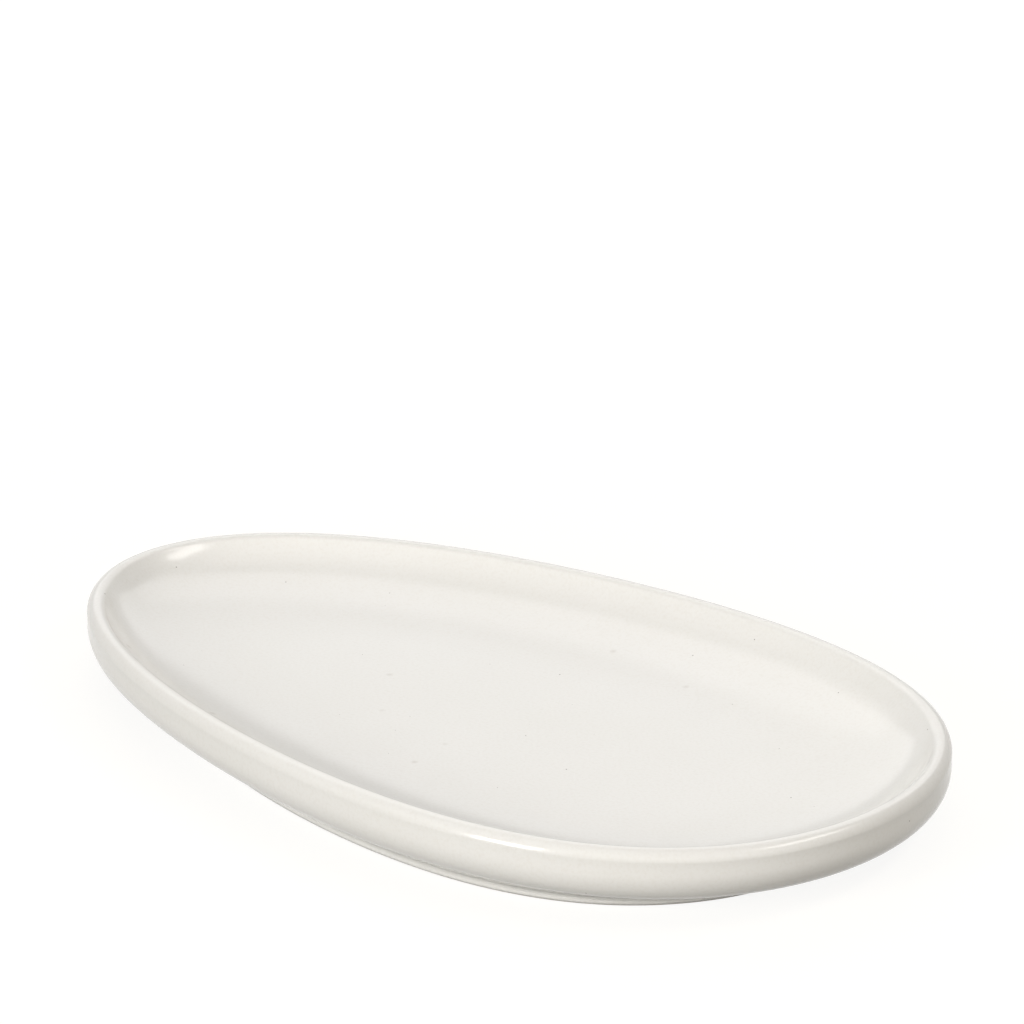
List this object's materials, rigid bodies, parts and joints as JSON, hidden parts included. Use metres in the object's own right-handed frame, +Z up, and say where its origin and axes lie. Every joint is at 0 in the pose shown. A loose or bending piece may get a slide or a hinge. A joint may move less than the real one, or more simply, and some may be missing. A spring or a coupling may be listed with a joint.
{
  "type": "serving platter",
  "caption": "Low glazed stoneware serving platter, a rounded triangle in plan, with a rounded lip, a shallow coved dish and a low foot ring drawn in under the belly.",
  "frame": {"origin": "on the table under the centre of the platter's bounding box", "axes": "+X to the broad end, -X to the narrow tip, +Z up out of the dish"},
  "size_m": [0.3, 0.18, 0.024],
  "materials": {
    "bare_stoneware": "dry unglazed fired clay, seen only on the foot ring",
    "white_glaze": "glossy warm white glaze with sparse dark iron specks"
  },
  "bodies": {
    "root": {"stoneware_body": "bare_stoneware", "glaze_coat": "white_glaze", "base_glaze": "white_glaze"}
  },
  "joints": []
}
